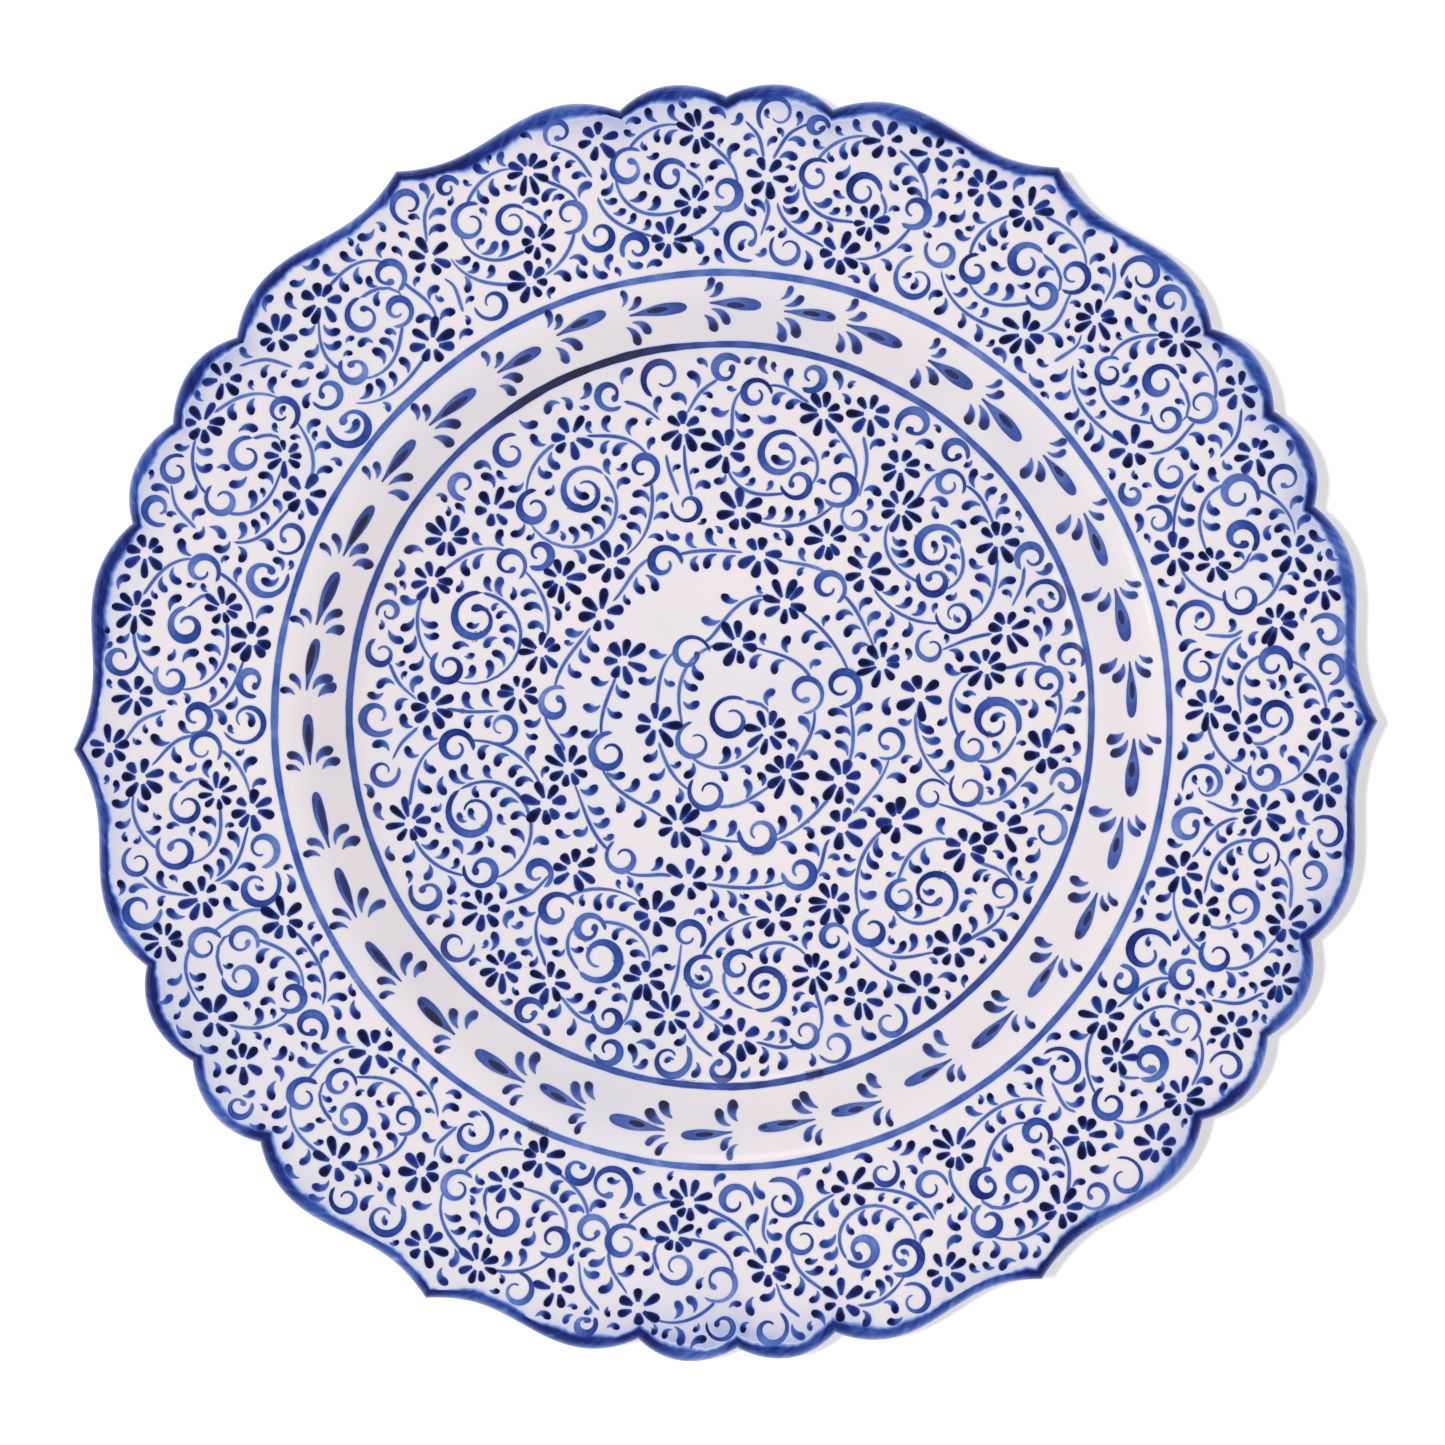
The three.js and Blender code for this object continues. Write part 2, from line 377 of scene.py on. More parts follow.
def foot_ring(material):
    """The foot, rounded off where it stands, with two holes for a hanging wire."""
    bearings = np.arange(0, 360, 0.75)
    middle = (FOOT_RADIUS + RECESS_RADIUS) / 2
    half = (FOOT_RADIUS - RECESS_RADIUS) / 2
    in_by, up_by = FOOT_ROUND
    section = [(half, FOOT_HEIGHT), (half, FOOT_SIDE)]
    for turn in range(0, 91, 15):
        t = math.radians(turn)
        section.append((half - in_by + in_by * math.cos(t), up_by - up_by * math.sin(t)))
    section += [(-across, z) for across, z in section[::-1]]
    rings = [ring(bearings, middle + across + 0 * bearings, z) for across, z in section]
    piece = make_piece("foot_clay", *swept(rings), material, "fired_clay", ["foot_ring"])
    for side in (-1, 1):
        bpy.ops.mesh.primitive_cylinder_add(
            vertices=32,
            radius=HOLE_RADIUS * MM,
            depth=24 * MM,
            location=(side * HOLE_OFFSET * MM, middle * MM, HOLE_HEIGHT * MM),
            rotation=(math.pi / 2, 0, 0),
        )
        drill = bpy.context.object
        cut = piece.modifiers.new("hole", "BOOLEAN")
        cut.operation = "DIFFERENCE"
        cut.solver = "EXACT"
        cut.object = drill
        bpy.context.view_layer.objects.active = piece
        bpy.ops.object.modifier_apply(modifier=cut.name)
        bpy.data.objects.remove(drill)


# ---- brushwork

ACROSS = np.array([-1, -0.62, 0, 0.62, 1])
DARK_MIDDLE = np.array([0.6, 0.95, 1, 0.95, 0.6])  # ink across a petal or a leaf
DARK_EDGES = np.array([1.05, 1.02, 0.97, 1.02, 1.05])  # ink across a curl, pooled at its edges
LAYERS = {"line": 0.03, "stem": 0.045, "curl": 0.06, "leaf": 0.075, "petal": 0.09}
HALO_ACROSS = np.array([-1, -0.5, 0.5, 1])
HALO_INK = np.array([0, 0.13, 0.13, 0])
HALO_LIFT = 0.012
HALO = 0.42  # how far the pale edge of a stroke reaches
STRAY_LIFT = 0.002  # keeps strokes that cross from lying at one height
LEAST_HALF = 0.02


class Painting:
    """Strokes that make one piece, in the well, the band or on the rim. Each lies on a pale
    halo, where the cobalt has bled into the glaze."""

    def __init__(self, name, zone):
        self.name = name
        self.zone = zone
        self.plan, self.lifts, self.inks, self.faces = [], [], [], []
        self.total = 0

    def stroke(self, path, half, ink, layer, across):
        """A ribbon along a plan path, with its half width and ink at each point."""
        stray = STRAY_LIFT * (len(self.lifts) % 7)
        half = np.maximum(half, LEAST_HALF)
        self.ribbon(path, half[:, None] * ACROSS, ink[:, None] * across, LAYERS[layer] + stray)
        bleed = HALO * (0.25 + 0.75 * np.clip(half / 0.6, 0, 1))
        pale = np.tile(HALO_INK, (len(path), 1))
        self.ribbon(path, (half + bleed)[:, None] * HALO_ACROSS, pale, HALO_LIFT + 0.7 * stray)
        canvas.mark(path, half)

    def ribbon(self, path, spread, ink, lift):
        """Faces along a path, with how far each point is to its left, and how inked it is."""
        along = np.gradient(path, axis=0)
        along /= np.linalg.norm(along, axis=1, keepdims=True) + 1e-9
        left = np.stack([-along[:, 1], along[:, 0]], 1)
        plan = path[:, None, :] + left[:, None, :] * spread[..., None]
        rows, columns = spread.shape
        corner = self.total + np.arange(rows * columns).reshape(rows, columns)
        quads = [corner[:-1, :-1], corner[1:, :-1], corner[1:, 1:], corner[:-1, 1:]]
        self.faces += np.stack(quads, -1).reshape(-1, 4).tolist()
        self.plan.append(plan.reshape(-1, 2))
        self.lifts.append(np.full(rows * columns, lift))
        self.inks.append(np.clip(ink, 0, 1).ravel())
        self.total += rows * columns

    def finish(self, material):
        x, y = np.concatenate(self.plan).T
        z = face_height(x, y) + np.concatenate(self.lifts)
        points = np.stack([x, y, z], 1)
        piece = make_piece(self.name, points, self.faces, material, "cobalt_paint")
        add_amounts(piece, "ink", np.concatenate(self.inks))
        add_wash(piece)


WELL_LIMIT = 86
RIM_START = 104.6
LIP_MARGIN = 2.2


def within(zone, path, half):
    """Whether paint stays inside its zone of the plate."""
    r = np.linalg.norm(path, axis=1)
    if zone == "well":
        return bool((r + half).max() < WELL_LIMIT)
    edge = edge_radius(np.degrees(np.arctan2(path[:, 1], path[:, 0])))
    return bool((r - half).min() > RIM_START and (edge - r - half).min() > LIP_MARGIN)


def fitted(zone, path_at, half):
    """The largest of a few sizes of a stroke that stays inside its zone."""
    for share in (1, 0.9, 0.8, 0.7, 0.6):
        path = path_at(share)
        if within(zone, path, half):
            break
    return path


class Canvas:
    """Keeps how far each spot of the plate is from the nearest paint, so that later strokes
    go where there is room."""

    CELL = 0.3
    HALF_SIZE = 600  # in cells
    WINDOW = 18  # cells each way round a spot of paint within which it counts

    def __init__(self):
        offsets = np.arange(-self.WINDOW, self.WINDOW + 1) * self.CELL
        self.apart = np.hypot(offsets[:, None], offsets[None, :])
        self.clear = np.full((2 * self.HALF_SIZE, 2 * self.HALF_SIZE), self.WINDOW * self.CELL)

    def cells(self, path):
        return np.round(path / self.CELL).astype(int) + self.HALF_SIZE

    def mark(self, path, half):
        for (i, j), width in zip(self.cells(path), half):
            rows = slice(i - self.WINDOW, i + self.WINDOW + 1)
            columns = slice(j - self.WINDOW, j + self.WINDOW + 1)
            self.clear[rows, columns] = np.minimum(self.clear[rows, columns], self.apart - width)

    def room(self, path, half, gap):
        """Whether paint along this path would keep a gap to all other paint."""
        i, j = self.cells(path).T
        return bool((self.clear[i, j] - half).min() > gap)


canvas = Canvas()


def find_room(zone, spot, radius, gap, reach):
    """The free place nearest to a spot for something round, or None."""
    rings = [polar(np.arange(0, 360, 30), radius * share) for share in (0.86, 0.45)]
    disc = np.concatenate([*rings, np.zeros((1, 2))])
    half = np.full(len(disc), radius * 0.14)
    for step in np.arange(0, reach, 0.75):
        for turn in range(0, 360, 45) if step else (0,):
            place = np.asarray(spot) + polar(turn + 20 * step, step)
            if within(zone, place + disc, half) and canvas.room(place + disc, half, gap):
                return place
    return None


def vary(value, share=0.12):
    return value * (1 + rng.uniform(-share, share))


STEM_STEP = 0.7


def smooth_path(points):
    """A curve through a few points, as evenly spaced points."""
    p = np.asarray(points, float)
    p = np.concatenate([[2 * p[0] - p[1]], p, [2 * p[-1] - p[-2]]])
    curve = []
    for a, b, c, d in zip(p, p[1:], p[2:], p[3:]):
        t = np.linspace(0, 1, 24, endpoint=False)[:, None]
        curve.append(
            b
            + t * (c - a) / 2
            + t**2 * (a - 2.5 * b + 2 * c - d / 2)
            + t**3 * (1.5 * (b - c) + (d - a) / 2)
        )
    curve = np.concatenate([*curve, p[-2:-1]])
    length = np.concatenate([[0], np.cumsum(np.linalg.norm(np.diff(curve, axis=0), axis=1))])
    even = np.linspace(0, length[-1], max(6, round(length[-1] / STEM_STEP)))
    return np.stack([np.interp(even, length, curve[:, k]) for k in (0, 1)], 1)


ENDWARD = np.sin(np.linspace(0, np.pi / 2, 13))  # shares along a stroke, closer near its end


def leaf_path(tail, heading, length, bend):
    """Runs from a leaf's tail to its head along a curve that hooks most near the head."""
    fine = np.linspace(0, 1, 40)
    turn = np.radians(heading + bend * fine**1.25)
    trail = np.cumsum(np.stack([np.cos(turn), np.sin(turn)], 1), axis=0) * length / len(fine)
    return tail + np.stack([np.interp(ENDWARD, fine, trail[:, k]) for k in (0, 1)], 1)


def round_end(full):
    """A share of the width that closes a stroke in a round end after the given share."""
    return np.sqrt(np.clip(1 - (np.clip(ENDWARD - full, 0, None) / (1 - full)) ** 2, 0, 1))


def leaf_half(size):
    """Half width along a leaf: a pointed tail that swells into a round head."""
    tip = np.sqrt(np.clip(ENDWARD / 0.35, 0.04, 1))
    return size * tip * (0.42 + 0.58 * between(ENDWARD, 0, 0.8)) * round_end(0.8)


def leaf_ink():
    """How dark a leaf's head is: mostly navy, at times hardly darker than its tail."""
    return rng.choice((1.0, 0.98, 0.94, 0.86, 0.74))


def leaf(painting, tail, heading, length, bend, size, gap=None):
    """A comma-shaped leaf. With a gap, it is painted only where that much room is left."""
    path = leaf_path(tail, heading, length, bend)
    half = leaf_half(size)
    if gap is not None:
        body = slice(4, None, 2)
        if not within(painting.zone, path, half) or not canvas.room(path[body], half[body], gap):
            return False
    head = leaf_ink()
    ink = vary(0.52, 0.1) + (head - 0.52) * between(ENDWARD, 0.3, 0.8)
    painting.stroke(path, half, ink, "leaf", DARK_MIDDLE)
    return True


def flower(painting, centre, radius, petals):
    """Petals round an open middle, pointed inwards and round outwards."""
    turn = rng.uniform(0, 360)
    longest = rng.uniform(0, 360)
    for i in range(petals):
        bearing = turn + 360 * i / petals + rng.uniform(-8, 8)
        inner = vary(radius * 0.28, 0.2)
        outer = vary(1.05 * radius, 0.08) * (1 + 0.14 * math.cos(math.radians(bearing - longest)))
        lean = rng.uniform(-9, 9)
        width = vary(radius * min(0.228, 1.55 / petals), 0.14)
        half = width * (0.16 + 0.84 * between(ENDWARD, -0.35, 0.7)) * round_end(0.7)

        def petal(share):
            reach = inner + (share * outer - inner) * ENDWARD
            return centre + polar(bearing + lean * ENDWARD, reach)

        path = fitted(painting.zone, petal, half)
        head = rng.choice((1.0, 1.0, 0.96, 0.82))
        ink = 0.7 + (head - 0.7) * between(ENDWARD, 0.05, 0.45)
        painting.stroke(path, half, ink, "petal", DARK_MIDDLE)


def tapered(u, ends):
    """A share of the width that closes a stroke at both ends, where u runs from 0 to 1."""
    return np.sqrt(np.clip(np.minimum(u, 1 - u) / ends, 0, 1))


def curl_path(centre, radius, start, sweep, shrink):
    u = np.linspace(0, 1, max(12, round(abs(sweep) / 11)))
    reach = radius * (1.3 - shrink * u)
    return centre + polar(start + sweep * u, reach)


def curl(painting, centre, radius, start, sweep=400, width=0.86, shrink=0.92):
    """A stroke that winds in on itself, thickest on one side, with a thin inner end or, at
    times, a full one."""
    width *= rng.uniform(0.68, 1.12)
    path = fitted(
        painting.zone, lambda share: curl_path(centre, share * radius, start, sweep, shrink), width
    )
    u = np.linspace(0, 1, len(path))
    heavy = rng.uniform(0.3, 0.5)
    half = width * (0.5 + 0.62 * bell(u - heavy, 0.24)) * (1 - 0.5 * u**3)
    if rng.random() < 0.3:
        half = half + 0.75 * width * bell(u - 0.92, 0.08)
    half *= tapered(u, 0.035)
    shade = rng.uniform(0.48, 0.68) + 0.12 * np.cos(2 * np.pi * (u + rng.random()))
    painting.stroke(path, half, shade, "curl", DARK_EDGES)
    return path


STEMS = []  # painting and path of each stem drawn
LEAF_PITCH = 4.5
SPIRAL_LEAF_PITCH = 5.4
LEAF_GAP = 0.36
MOTIF_REACH = 3.8  # how far a motif may move to find room
PETAL_COUNTS = (6, 7, 7, 8)


def stem(painting, path):
    u = np.linspace(0, 1, len(path))
    width = 0.38 * (0.75 + 0.35 * np.sin(np.pi * u + rng.uniform(-0.8, 0.8)))
    width *= tapered(u, 0.04)
    painting.stroke(path, width, vary(0.45, 0.14) + 0.1 * u, "stem", DARK_MIDDLE**0.5)
    STEMS.append((painting, path))


def leaves_on_stems():
    """Pairs of leaves along every stem, heads forward, wherever there is room."""
    for painting, path in STEMS:
        step = np.linalg.norm(np.diff(path, axis=0), axis=1).mean()
        pitch = SPIRAL_LEAF_PITCH if painting.name == "centre_scroll" else LEAF_PITCH
        pitch = vary(pitch, 0.1) / step
        spot = pitch * 0.35
        while spot < len(path) - 2:
            i = int(spot)
            ahead = path[i + 1] - path[i]
            heading = math.degrees(math.atan2(ahead[1], ahead[0]))
            for side in (-1, 1):
                for share in (1, 0.82, 0.66, 0.52):
                    if leaf(
                        painting,
                        path[i] + polar(heading + 90 * side, rng.uniform(0.6, 1.2)),
                        heading + side * rng.uniform(5, 32),
                        vary(4.8 * share, 0.1),
                        side * rng.uniform(100, 165),
                        vary(share**0.5, 0.1),
                        gap=LEAF_GAP,
                    ):
                        break
            spot += pitch


# ---- scrolls


def scroll(painting, centre, facing, beads, fit=1.0):
    """A stem that winds anticlockwise through a list of beads, given as what it is, its
    bearing from where the scroll faces, its distance from the scroll's centre and its size.
    fit scales the whole scroll."""
    last = None
    hook = None
    if beads[-1][0] == "hook":
        _, bearing, _, size = beads[-1]
        size *= math.sqrt(fit)
        sweep = rng.uniform(380, 450)
        hook = curl(painting, centre, size, facing + bearing, sweep, 0.95, shrink=0.86)
    for kind, bearing, distance, size in beads:
        bearing = facing + bearing + rng.uniform(-4, 4)
        distance = vary(distance, 0.05) * fit
        size = size * math.sqrt(fit)
        spot = centre + polar(bearing, distance)
        if kind == "start":
            last = (bearing, distance)
            continue
        if kind != "hook":
            spot = find_room(painting.zone, spot, size, 0.2, MOTIF_REACH)
            if spot is None:
                continue
            bearing, distance = around(centre, spot, bearing)
        if kind == "flower":
            gap = math.degrees(0.8 * size / distance)
            ends = [(bearing - gap, distance), (bearing + gap, distance)]
            flower(painting, spot, size, rng.choice(PETAL_COUNTS))
        elif kind == "curl":
            line = curl(painting, spot, size, bearing - 115, rng.uniform(380, 430))
            ends = [around(centre, line[3], bearing), around(centre, line[14], bearing)]
        else:
            ends = [around(centre, hook[0], bearing)] * 2
        if last is not None:
            count = max(6, round(math.radians(ends[0][0] - last[0]) * distance / STEM_STEP))
            t = np.linspace(0, 1, count)
            bearings = last[0] + (ends[0][0] - last[0]) * t
            distances = last[1] + (ends[0][1] - last[1]) * ease(t)
            stem(painting, centre + polar(bearings, distances))
        last = ends[1]


def around(centre, point, near):
    """Bearing and distance of a point about a centre, the bearing within half a turn of near."""
    dx, dy = point - centre
    bearing = math.degrees(math.atan2(dy, dx))
    return bearing + 360 * round((near - bearing) / 360), math.hypot(dx, dy)


# Beads of the scrolls on the rim. Bearing 0 points out to the edge.
RIM_SCROLLS = (
    (
        ("start", 112, 19.5, 0),
        ("flower", 174, 15.5, 4.9),
        ("curl", 262, 13.2, 3.2),
        ("flower", 352, 12.4, 4.7),
        ("curl", 448, 12.2, 3.2),
        ("flower", 556, 8.8, 4.2),
        ("hook", 640, 3.6, 3.3),
    ),
    (
        ("start", 130, 21, 0),
        ("flower", 208, 16.8, 5.0),
        ("curl", 290, 11.6, 3.3),
        ("flower", 388, 11.2, 5.0),
        ("curl", 490, 12.4, 2.9),
        ("curl", 602, 8.4, 3.0),
        ("hook", 690, 3.6, 3.4),
    ),
    (
        ("start", 100, 18, 0),
        ("flower", 172, 15.4, 4.8),
        ("curl", 250, 14.4, 3.4),
        ("flower", 322, 13.4, 4.9),
        ("curl", 432, 10.5, 3.8),
        ("flower", 545, 8.8, 4.2),
        ("hook", 650, 3.6, 3.2),
    ),
)
RIM_SCROLL_RADIUS = 127
RIM_SCROLL_COUNT = 19


def local(bearing, radius, spots):
    """Plan points for spots given as arc round the plate at a radius, and distance outwards."""
    spots = np.asarray(spots, float).reshape(-1, 2)
    return polar(bearing + np.degrees(spots[:, 0] / radius), radius + spots[:, 1])


def sprig(painting, bearing, radius, stems, flowers, curls):
    """Stems, flowers and curls drawn between two scrolls."""
    for spot, size in flowers:
        place = local(bearing, radius, spot)[0]
        spot = find_room(painting.zone, place, size, 0.15, MOTIF_REACH)
        if spot is not None:
            flower(painting, spot, size, rng.choice(PETAL_COUNTS))
    for spot, size, start, sweep in curls:
        place = local(bearing, radius, spot)[0]
        spot = find_room(painting.zone, place, size * 1.1, 0.1, MOTIF_REACH)
        if spot is not None:
            facing = bearing + start + rng.uniform(-15, 15)
            curl(painting, spot, size, facing, sweep)
    for points in stems:
        path = smooth_path(local(bearing, radius, points))
        if within(painting.zone, path, 0.5) and canvas.room(path[2:-2], 0.3, 0):
            stem(painting, path)


# What is painted between two scrolls: stems as paths, flowers as spot and size, and curls as
# spot, size, first bearing and sweep. A spot is arc round the plate and distance outwards.
RIM_SPRIGS = (
    dict(
        stems=(
            ((0.5, -14), (-1, -8), (0, -5)),
            ((-1, 4), (-4, 10), (-8, 13.2)),
            ((1, 4), (2.5, 9), (5.5, 12.5)),
        ),
        flowers=(((0, 0), 4.8), ((8, 15.5), 4.8)),
        curls=(
            ((-11, 13.5), 2.9, -100, 390),
            ((-1.5, 16), 3.8, 150, -370),
            ((-8.5, -14.6), 3.3, 60, 380),
            ((4.5, -14.6), 4.2, 200, -360),
        ),
    ),
    dict(
        stems=(
            ((-1.5, -10), (-1, -4), (-1.5, 3), (-3, 6)),
            ((-1.5, 3), (1, 9), (5.5, 13)),
        ),
        flowers=(((-4.5, 10.5), 4.6), ((9, 15.5), 4.6)),
        curls=(
            ((-2, -7), 3.1, 80, 390),
            ((1, -15.4), 4.4, 30, 370),
            ((-12, 14.5), 3.2, 200, -380),
            ((2.5, 17.2), 2.7, 150, -380),
            ((-11, -15.5), 2.8, 120, -380),
        ),
    ),
)


def spaced_by_eye(count, seed, stray=0.06):
    """Bearings round the plate, evenly spaced but for a hand's unevenness."""
    draw = random.Random(seed)
    return [(i + draw.uniform(-stray, stray)) * 360 / count for i in range(count)]


def scrolls_round(zone, count, radius, scrolls, sprigs, stray):
    """Scrolls round the plate with sprigs between them, one painting for each scroll."""
    bearings = spaced_by_eye(count, seed=count)
    paintings = []
    for i, bearing in enumerate(bearings):
        painting = Painting(f"{zone}_scroll_{i + 1:02d}", zone)
        centre = polar(bearing, radius + rng.uniform(-stray, stray))
        after = (bearings[(i + 1) % len(bearings)] - bearing) % 360
        before = (bearing - bearings[i - 1]) % 360
        fit = min(1, min(before, after) * len(bearings) / 360) ** 0.8
        scroll(painting, centre, bearing, scrolls[(i * 2 + i // 3) % len(scrolls)], fit)
        paintings.append((bearing, painting))
    for i, (bearing, painting) in enumerate(paintings):
        after = bearings[(i + 1) % len(bearings)]
        middle = bearing + ((after - bearing) % 360) / 2
        sprig(painting, middle, radius, **sprigs[i % len(sprigs)])
    return paintings


WELL_SCROLLS = (
    (
        ("flower", 160, 18.2, 5.2),
        ("curl", 250, 16.2, 3.6),
        ("flower", 328, 14.4, 5.0),
        ("curl", 398, 16.0, 3.0),
        ("flower", 456, 12.8, 5.0),
        ("curl", 592, 6.6, 3.1),
        ("hook", 690, 4.6, 4.6),
    ),
    (
        ("flower", 172, 18.4, 5.1),
        ("curl", 262, 15.4, 3.3),
        ("flower", 345, 14.8, 5.0),
        ("curl", 440, 14.0, 3.4),
        ("flower", 530, 9.5, 4.8),
        ("hook", 640, 4.6, 4.9),
    ),
)
WELL_SCROLL_RADIUS = 62.8
WELL_SCROLL_COUNT = 9
WELL_SPRIGS = (
    dict(
        stems=(
            ((-1.5, -10), (-1, -3), (-1.5, 2.5)),
            ((-3, 9.5), (-6, 14), (-9.5, 17)),
            ((2.5, 9), (5.5, 13), (8.5, 15.5)),
            ((2, -9), (3, -3), (3, 1)),
        ),
        flowers=(((-1.8, 6), 4.9), ((6.8, 5.2), 4.6), ((-7, -15.5), 4.6)),
        curls=(
            ((-11, 19), 2.8, -60, 390),
            ((0.5, 18.6), 3.9, 150, -370),
            ((10.5, 18), 2.9, 200, -390),
            ((0, -12), 3.1, 60, 390),
        ),
    ),
    dict(
        stems=(
            ((0, -9), (0.5, -2), (-1.5, 4)),
            ((0.5, -2), (3, 6), (6, 11)),
            ((-1.5, 4), (-5.5, 10), (-9.5, 14.5)),
        ),
        flowers=(((7.5, 15), 4.9), ((-3.5, 9), 4.6), ((3.5, -12.5), 4.9)),
        curls=(
            ((-12, 17.5), 3.3, -80, 390),
            ((-1.5, 19), 3.3, 150, -370),
            ((16, 20), 2.7, 160, 380),
            ((-1.5, -6.5), 2.8, 80, 380),
        ),
    ),
)


# The garland round the middle of the well, and the long scroll inside it.
GARLAND_STEP = 60


def garland_beads():
    """A flower and a curl in each step round the garland, which closes on itself."""
    beads = []
    for turn in range(20, 380, GARLAND_STEP):
        beads += [("flower", turn, 38.5, 5.0), ("curl", turn + 33, 39.5, 3.3)]
    return [*beads, ("start", 374, 38.5, 0)]


# Turns of the middle scroll: distance from its centre, first bearing, step and beads.
CENTRE_TURNS = ((28.5, 149, 46, 7), (17.6, 480, 65, 6), (9, 920, 125, 2))


def centre_beads():
    """Flowers and curls by turns along the middle scroll, which ends in a hook."""
    places = [
        (first + step * i, distance)
        for distance, first, step, count in CENTRE_TURNS
        for i in range(count)
    ]
    kinds = (("flower", 5.1), ("curl", 3.7))
    beads = [(kinds[i % 2][0], *place, kinds[i % 2][1]) for i, place in enumerate(places)]
    return [*beads, ("hook", 1135, 5.0, 4.2)]


def middle_paintings():
    garland = Painting("well_garland", "well")
    scroll(garland, np.zeros(2), 0, garland_beads())
    spiral = Painting("centre_scroll", "well")
    scroll(spiral, polar(18, 1.2), 0, centre_beads())
    return garland, spiral


def nearest_painting(paintings, bearing):
    return min(paintings, key=lambda entry: abs(turned_from(entry[0], bearing)))[1]


LOOSE_MOTIFS = ((5.0, 500), (4.2, 900), (3.3, 1400))  # size, and tries to find room for one
LEAST_FLOWER = 4.5  # loose motifs smaller than this are curls
MOTIF_GAP = 0.45
LOOSE_LEAVES = ((5.0, 2.6), (4.2, 3.0), (3.3, 3.4), (2.5, 2.4))  # length, and tries for the area
LOOSE_LEAF_GAP = 0.42


def fill_with_motifs(paintings, low, high):
    """Flowers and curls in the room that is left between two radii."""
    zone = paintings[0][1].zone
    for size, tries in LOOSE_MOTIFS:
        for _ in range(tries):
            bearing = rng.uniform(0, 360)
            spot = polar(bearing, math.sqrt(rng.uniform(low**2, high**2)))
            if find_room(zone, spot, size, MOTIF_GAP, 0.5) is None:
                continue
            painting = nearest_painting(paintings, bearing)
            if size > LEAST_FLOWER:
                flower(painting, spot, size, rng.choice((6, 7, 8)))
            else:
                way = rng.choice((-1, 1))
                curl(painting, spot, size * 0.84, rng.uniform(0, 360), way * rng.uniform(360, 450))


def fill_with_leaves(paintings, low, high):
    """Leaves in the room that is left between two radii, the longest first."""
    for length, tries in LOOSE_LEAVES:
        for _ in range(round(tries * (high - low) * (high + low) / 4)):
            bearing = rng.uniform(0, 360)
            tail = polar(bearing, math.sqrt(rng.uniform(low**2, high**2)))
            heading = rng.uniform(0, 360)
            bend = rng.choice((-1, 1)) * rng.uniform(95, 160)
            size = 0.42 + 0.12 * length
            path = leaf_path(tail, heading, length, bend)
            if canvas.room(path, leaf_half(size), LOOSE_LEAF_GAP):
                painting = nearest_painting(paintings, bearing)
                leaf(painting, tail, heading, length, bend, size, gap=LOOSE_LEAF_GAP)


# ---- ring lines and band

RING_LINES = (("outer_ring_line", 104.05, (-0.9, 0.2)), ("inner_ring_line", 86.5, (-1.3, 1.3)))
RING_HALF = 0.8
RING_TURN = 364  # a line is drawn a little past its start
DARK_STRETCH = 112  # bearing where the inner line is navy


def ripple(bearing, waves, seed):
    """An uneven value about 0 round the plate, from waves of many lengths."""
    draw = random.Random(seed)
    total = 0 * bearing
    for count in waves:
        total = total + np.sin(np.radians(bearing * count + draw.uniform(0, 360))) / len(waves)
    return total


def ring_lines():
    paintings = []
    for seed, (name, radius, middle) in enumerate(RING_LINES):
        painting = Painting(name, "line")
        start = rng.uniform(0, 360)
        bearing = start + np.linspace(0, RING_TURN, 900)
        path = np.array(middle) + polar(bearing, radius + 0.15 * ripple(bearing, (5, 11, 23), seed))
        half = RING_HALF * (1 + 0.18 * ripple(bearing, (3, 7, 17, 41, 97), seed + 5))
        to_end = np.minimum(bearing - start, start + RING_TURN - bearing)
        half *= np.sqrt(np.clip(to_end / 0.6, 0, 1))
        ink = 0.5 + 0.14 * seed + 0.14 * ripple(bearing, (2, 9, 31, 77), seed + 9)
        if name == "inner_ring_line":
            near = np.abs(turned_from(bearing, DARK_STRETCH))
            ink = ink + 0.3 * (1 - between(near, 6, 24))
            half = half * (1 + 0.25 * (1 - between(near, 6, 20)))
        painting.stroke(path, half, ink, "line", np.array([0.86, 1, 0.94, 1, 0.86]))
        paintings.append(painting)
    return paintings


BAND_DROPS = 34
BAND_RADIUS = 96.3
BAND_REACH = 7.6  # degrees from a drop's head to its tail
BAND_CENTRE = (-1.1, 0.7)
# Commas by the tail of a drop: how far the thin end is past the tail's tip along the band and
# outwards from it, in mm, then heading from the drop's own direction, length and half width.
BAND_LEAVES = (
    (0.1, 1.3, 8, 4.8, 0.92),
    (1.3, 2.6, 30, 4.2, 0.84),
    (-0.2, -1.5, -10, 5.8, 1.16),
    (1.4, -2.6, -34, 5.2, 1.18),
)


